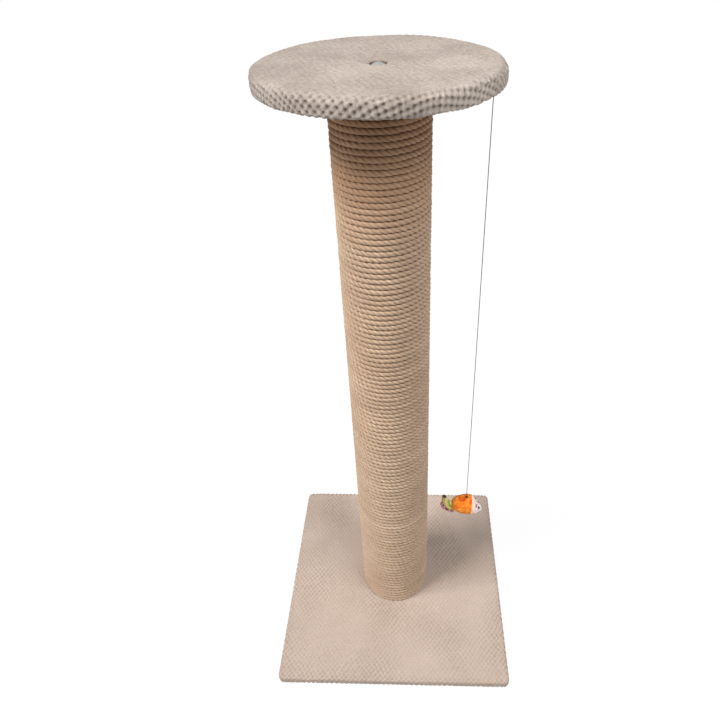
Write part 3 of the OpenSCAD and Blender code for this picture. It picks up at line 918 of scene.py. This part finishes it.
# %% Stuffing and tufts
def swell(bm, amount, size, seed):
    """Lumps along the normals, as stuffing makes them."""
    bm.normal_update()
    p = points_of(bm)
    normals = np.array([v.normal[:] for v in bm.verts])
    lumps = amount * (wander(p, size, seed) + 0.4 * wander(p, size / 3, seed + 1))
    move_points(bm, p + normals * lumps[:, None])
    # The stored puff paints light on the lumps and shade in the hollows.
    store(bm, "puff", np.clip(0.45 + lumps / (4 * amount), 0, 1))


def tufted(bm, share, length, lean, seed):
    """Pulls a share of the faces out into tufts that all lean one way, with a painted light at their tips."""
    rng = np.random.default_rng(seed)
    layer = bm.verts.layers.float["puff"]
    chosen = [f for f in bm.faces if rng.random() < share and len(f.verts) <= 4]
    for face in bmesh.ops.extrude_discrete_faces(bm, faces=chosen)["faces"]:
        middle = face.calc_center_median()
        way = (face.normal + Vector(lean) + Vector(rng.normal(size=3)) * 0.35).normalized()
        tip = middle + way * length * rng.uniform(0.6, 1.2)
        for vert in face.verts:
            vert.co = tip + (vert.co - middle) * 0.2
            vert[layer] = rng.uniform(0.7, 1.0)


def toy_piece(name, bm, finish, slot, stands_for):
    """Moves a piece to where the toy hangs and finishes it."""
    bmesh.ops.translate(bm, verts=bm.verts, vec=TOY)
    bmesh.ops.scale(bm, verts=bm.verts, vec=(MM, MM, MM))
    smooth(bm)
    return finish_piece(name, bm, finish, "toy", slot, [stands_for])


print("the toy hangs at", TOY)

# %% [markdown]
# The toy's plush gets a painted shade between the tufts and in the hollows of
# the stuffing, and a painted light at their tips. Where the body meets the head
# a pale seam runs slightly slanted, and a painted shade lies round the eyes.
# Both are stored as numbers on the points.

# %% Long-pile plush
def fluff(name, low, mid, high):
    """Long-pile plush in three shades, with a seam and a painted shade round the eyes."""
    made = Finish(name, {
        "Roughness": 0.9, "Specular IOR Level": 0.2, "Sheen Weight": 0.15, "Sheen Roughness": 0.5,
    })
    clumps = made.noise(made.place(), 260.0, 3.0, 0.6)
    # The stored puff is painted light on tufts and lumps and painted shade between them.
    tone = 0.55 * clumps + 0.45 * made.kept("puff")
    shades = made.ramp(tone, (0.36, low), (0.5, mid), (0.66, high))
    sewn = made.mix(0.85 * made.kept("seam"), shades, colour(255, 222, 200))
    # Painted shade round the eyes.
    made.feed("Base Color", made.mix(made.kept("socket"), sewn, colour(30, 20, 22)))
    made.bump(clumps, 0.0006, 0.6)
    return made


orange_fluff = fluff("orange_plush", colour(218, 78, 24), colour(246, 132, 20), colour(255, 172, 70))
pale_fluff = fluff("pale_plush", colour(250, 214, 212), colour(255, 242, 240), colour(255, 252, 252))
print("made", orange_fluff.material.name, "and", pale_fluff.material.name)

# %% [markdown]
# The body is blunt at the tail and widest near the head. The head starts inside
# it, tapers, and drops its nose. Each circle is given by its share of the
# length, its radius and how far it drops.

# %% The toy's body and head
BODY_RINGS = [
    (-0.015, 0.2, 0), (0, 0.4, 0), (0.05, 0.54, 0), (0.15, 0.69, 0), (0.3, 0.84, 0), (0.5, 0.95, 0),
    (0.66, 1, 0), (0.84, 1, 0), (0.97, 0.96, 0.1), (1.04, 0.8, 0.1),
]
HEAD_RINGS = [
    (-0.1, 0.85, 0.1), (-0.04, 0.96, 0.1), (0.05, 0.96, 0.13), (0.25, 0.82, 0.32), (0.5, 0.61, 0.56),
    (0.72, 0.42, 0.78), (0.88, 0.29, 0.92), (0.97, 0.17, 0.99), (1.01, 0.06, 1),
]
EYE_AT = (46.9, 5.8, -3.0)
SEAM_AT, SEAM_SLANT = 31.5, 0.12
bm = loft(BODY_RINGS, 0, BODY_LENGTH)
swell(bm, 0.3, 14, 41)
p = points_of(bm)
store(bm, "seam", between(p[:, 0] - SEAM_SLANT * p[:, 2], SEAM_AT, SEAM_AT + 2))
tufted(bm, 0.5, 1.5, (-0.7, 0, -0.2), 42)
toy_body = toy_piece("toy_body_plush", bm, orange_fluff, "orange_plush", "toy_body")
bm = loft(HEAD_RINGS, BODY_LENGTH, HEAD_LENGTH)
swell(bm, 0.15, 10, 43)
p = points_of(bm)
p[:, 1] = np.abs(p[:, 1])
from_eye = np.linalg.norm(p - np.array(EYE_AT), axis=1)
store(bm, "socket", between(from_eye, 3, 2))
store(bm, "seam", between(p[:, 0], BODY_LENGTH + 5, BODY_LENGTH))
tufted(bm, 0.25, 0.6, (-0.9, 0, 0), 44)
toy_head = toy_piece("toy_head_plush", bm, pale_fluff, "pale_plush", "toy_head")

# %% [markdown]
# The tail is a stuffed crescent of green and yellow plush with a dark tip, and
# a pink edging is sewn along its outer side. Both are flattened circles set
# along an arc that swells, tapers and opens towards its tip. Two numbers
# stored on the points, along the curl and across it, let the material go from
# yellow at the root and the outer side to green inside and a dark tip.

# %% The toy's tail
CURL_AT = Vector((6.5, 0, 8))
TAIL_FLAT = 0.6


def curl(radius, thick, start, end, opening, seed, steps=40, sides=28):
    """A stuffed crescent from angle start to angle end, in degrees, that opens by opening."""
    bm = bmesh.new()
    along = bm.verts.layers.float.new("along")
    loops = []
    for i in range(steps + 1):
        t = i / steps
        turn = math.radians(start + (end - start) * t)
        out = Vector((math.cos(turn), 0, math.sin(turn)))
        full = 0.25 + 0.75 * math.sin(math.pi * (0.2 + 0.8 * t)) ** 0.6
        half = thick / 2 * full * (1 if t < 1 else 0.4)
        across = Vector((0, 1, 0))
        turned = Matrix((out, across, out.cross(across))).transposed().to_4x4()
        placed = Matrix.Translation(CURL_AT + (radius + opening * max(0, 2 * t - 1) ** 2) * out) @ turned
        ring, loop = circle(bm, sides, half, placed @ Matrix.Diagonal((1, TAIL_FLAT, 1, 1)))
        for vert in ring:
            vert[along] = t
        loops.append(loop)
    bridged(bm, loops)
    swell(bm, 0.2, 6, seed)
    from_middle = np.linalg.norm(points_of(bm)[:, ::2] - np.array(CURL_AT)[::2], axis=1)
    store(bm, "outer", np.clip((from_middle - radius) / thick + 0.5, 0, 1))
    return bm


green = Finish("green_plush", {"Roughness": 0.9, "Specular IOR Level": 0.2, "Sheen Weight": 0.15})
clumps = green.noise(green.place(), 300.0, 3.0, 0.65)
outward = green.kept("outer") + 0.5 * (clumps - 0.5)
stripe = green.ramp(
    outward, (0.14, colour(206, 216, 166)), (0.32, colour(128, 138, 40)), (0.44, colour(206, 204, 112)),
    (0.64, colour(230, 218, 152)), (0.86, colour(228, 194, 142)),
)
# Painted light on the stuffing's lumps and painted shade in its hollows.
lumps_lit = green.mix(green.kept("puff"), stripe, colour(226, 220, 176), "SOFT_LIGHT")
tipped = green.ramp(green.kept("along"), (0.92, (0, 0, 0, 1)), (0.96, (1, 1, 1, 1)))
green.feed("Base Color", green.mix(tipped, lumps_lit, colour(58, 62, 52)))
green.bump(clumps, 0.0008, 0.8)
edging = Finish("pink_edging", {"Roughness": 0.9, "Specular IOR Level": 0.2, "Sheen Weight": 0.15})
spots = edging.noise(edging.place(), 330.0, 1.0)
edging.feed("Base Color", edging.ramp(
    spots, (0.4, colour(128, 54, 74)), (0.5, colour(216, 134, 146)), (0.6, colour(244, 204, 208)),
))
edging.bump(spots, 0.0006, 0.8)
bm = curl(17, 15.5, -70, -216, 10, 45)
tufted(bm, 0.35, 1.6, (0, 0, -0.2), 46)
tail = toy_piece("toy_tail_plush", bm, green, "green_plush", "toy_tail")
bm = curl(27.6, 7.2, -98, -172, 0, 47)
tufted(bm, 0.35, 1.2, (0, 0, -0.2), 48)
trim = toy_piece("toy_tail_edging", bm, edging, "pink_plush", "toy_tail_trim")

# %% [markdown]
# The ears are ovals cut from thin felt. They stand off the upper sides of the
# head, leaning back with it, and a flattened ball is enough at this size.

# %% The toy's ears
ear_felt = Finish("ear_felt", {"Roughness": 0.95, "Specular IOR Level": 0.15, "Sheen Weight": 0.2})
fuzz = ear_felt.noise(ear_felt.place(), 900.0, 3.0, 0.7)
ear_felt.two_tone(fuzz, (132, 62, 82), (186, 108, 124))
ear_felt.bump(fuzz, 0.0004)
bm = bmesh.new()
head_middle = Matrix.Translation((BODY_LENGTH + HEAD_LENGTH * 0.3, 0, -NOSE_DROP * 0.35))
oval = Matrix.Diagonal((2.2, 1.5, 3.6, 1))
for side in (-1, 1):
    leaning = Matrix.Rotation(side * math.radians(50), 4, "X")
    placed = head_middle @ leaning @ Matrix.Translation((0, side * TOY_R * 0.75, 0)) @ oval
    bmesh.ops.create_uvsphere(bm, u_segments=24, v_segments=16, radius=1, matrix=placed)
ears = toy_piece("toy_ears_felt", bm, ear_felt, "ear_felt", "toy_ears")

# %% [markdown]
# What stays from the CAD model gets its finish now. The boards are cut from
# particle board, the plugs are turned from pale wood, the tube is grey-brown
# card, and bolts, nuts, nails and staples are zinc-plated steel. The eyes are
# black glass beads.

# %% Finishes for the hard parts
board = Finish("particle_board", {"Roughness": 0.75, "Specular IOR Level": 0.3})
flakes = board.stretched(board.place(), (260, 330, 700))
chips = board.node("TexVoronoi", {"feature": "F1"}, {"Vector": flakes, "Scale": 1.0}, output="Color")
dust = board.noise(board.place(), 900.0, 3.0, 0.7)
chip_tone = board.mix(0.25, colour(196, 160, 112), chips, "SOFT_LIGHT")
board.feed("Base Color", board.mix(0.5 * dust, chip_tone, colour(150, 112, 70)))
board.bump(dust, 0.0003)

wood = Finish("pale_wood", {"Roughness": 0.6, "Specular IOR Level": 0.35})
rings = wood.noise(wood.stretched(wood.place(), (30, 260, 260)), 1.0, 3.0, 0.6)
wood.feed("Base Color", wood.ramp(rings, (0.35, colour(176, 132, 84)), (0.65, colour(224, 190, 142))))
wood.bump(rings, 0.0003)

card = Finish("grey_card", {"Roughness": 0.9, "Specular IOR Level": 0.2})
pulp = card.noise(card.stretched(card.place(), (500, 500, 900)), 1.0, 4.0, 0.6)
card.two_tone(pulp, (142, 118, 92), (182, 158, 128))
card.bump(pulp, 0.0002)

zinc = Finish("zinc_plate", {"Metallic": 1.0, "Specular IOR Level": 0.5})
stains = zinc.noise(zinc.place(), 320.0, 3.0, 0.6)
zinc.two_tone(stains, (146, 148, 149), (192, 193, 192))
zinc.feed("Roughness", 0.28 + 0.2 * stains)
zinc.bump(zinc.noise(zinc.place(), 2400.0, 2.0), 0.00005)

bead = Finish("black_bead", {"Roughness": 0.35, "Specular IOR Level": 0.15})
bead_tint = bead.noise(bead.place(), 300.0)
bead.two_tone(bead_tint, (12, 9, 10), (26, 18, 22))

HARD = {
    "base_board": board, "platform_board": board, "bottom_plug": wood, "top_plug": wood,
    "cardboard_tube": card, "toy_eyes": bead,
    **{name: zinc for name in (
        "base_staples", "base_bolt", "bottom_tee_nut", "top_tee_nut", "plug_nails",
        "rope_staples", "platform_staples", "platform_bolt", "string_staple",
    )},
}
for name, finish in HARD.items():
    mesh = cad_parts[name].data
    mesh.materials.clear()
    mesh.materials.append(finish.material)
print("finishes on", len(HARD), "hard parts")

# %% [markdown]

# %% [markdown]
# The studio's background is white to the camera, and also in metal and glass,
# without any more light on the object. Light Path tells which kind of ray asks:
# the camera and mirrors are given one shader, and light another. The world
# gives weak, soft light from everywhere.

# %% Background
def by_ray(tree, lighting, seen, output):
    """Gives light the first shader, and the camera, mirrors and glass the second."""
    path = tree.nodes.new("ShaderNodeLightPath")
    asked = path.outputs["Is Camera Ray"]
    for ray in ("Is Glossy Ray", "Is Transmission Ray"):
        larger = tree.nodes.new("ShaderNodeMath")
        larger.operation = "MAXIMUM"
        tree.links.new(asked, larger.inputs[0])
        tree.links.new(path.outputs[ray], larger.inputs[1])
        asked = larger.outputs[0]
    pick = tree.nodes.new("ShaderNodeMixShader")
    tree.links.new(asked, pick.inputs[0])
    tree.links.new(lighting.outputs[0], pick.inputs[1])
    tree.links.new(seen.outputs[0], pick.inputs[2])
    tree.links.new(pick.outputs[0], tree.nodes.new(output).inputs["Surface"])


def shader(tree, kind, **values):
    made = tree.nodes.new("ShaderNode" + kind)
    for socket, value in values.items():
        made.inputs[socket].default_value = value
    return made


world = bpy.data.worlds.new("studio")
bpy.context.scene.world = world
world.use_nodes = True
tree = world.node_tree
tree.nodes.clear()
backdrop = shader(tree, "Background", Strength=1.0, Color=(1, 1, 1, 1))
soft_light = shader(tree, "Background", Strength=0.3, Color=(0.97, 0.985, 1, 1))
by_ray(tree, soft_light, backdrop, "ShaderNodeOutputWorld")
print("the world's light is", soft_light.inputs["Strength"].default_value)

# %% [markdown]
# The floor is a plain grey to the light, so that it throws little back. To the
# camera it is a white one that keeps the object's shadow near the base and
# fades into pure white around it.

# %% Floor
bm = bmesh.new()
bmesh.ops.create_grid(bm, x_segments=1, y_segments=1, size=8)
mesh = bpy.data.meshes.new("floor")
bm.to_mesh(mesh)
bm.free()
floor = linked("floor", mesh)
ground = bpy.data.materials.new("floor")
ground.use_nodes = True
tree = ground.node_tree
tree.nodes.clear()
paint = shader(tree, "BsdfDiffuse", Color=(0.5, 0.5, 0.5, 1))
white = shader(tree, "BsdfDiffuse", Color=(1, 1, 1, 1))
glow = shader(tree, "Emission", Strength=1.0)
seen = tree.nodes.new("ShaderNodeMixShader")
away = tree.nodes.new("ShaderNodeVectorMath")
away.operation = "LENGTH"
tree.links.new(tree.nodes.new("ShaderNodeTexCoord").outputs["Object"], away.inputs[0])
fading = tree.nodes.new("ShaderNodeMapRange")
for socket, value in {"From Min": 0.5, "From Max": 1.3, "To Min": 0.93, "To Max": 1.0}.items():
    fading.inputs[socket].default_value = value
tree.links.new(away.outputs["Value"], fading.inputs["Value"])
tree.links.new(fading.outputs[0], seen.inputs[0])
tree.links.new(white.outputs[0], seen.inputs[1])
tree.links.new(glow.outputs[0], seen.inputs[2])
by_ray(tree, paint, seen, "ShaderNodeOutputMaterial")
mesh.materials.append(ground)
print("floor", floor.name)

# %% [markdown]
# A large lamp stands high on the left and a little in front, so that the post's
# shadow falls across the base to the right. A weaker, wider one, high at the
# front right, fills the shadows.

# %% Lamps
def lamp(name, place, aim, size, watts, tint=(1, 1, 1)):
    data = bpy.data.lights.new(name, "AREA")
    data.size, data.energy, data.color = size, watts, tint
    made = linked(name, data)
    made.location = place
    made.rotation_euler = (Vector(aim) - Vector(place)).to_track_quat("-Z", "Y").to_euler()
    return made


key = lamp("key", (-2.96, -1.46, 4.84), (0, 0, 0.5), 2.0, 310, (1, 0.985, 0.965))
fill = lamp("fill", (2.3, -2.0, 4.8), (0, 0, 0.5), 2.2, 150)
print("lamps", key.name, fill.name)
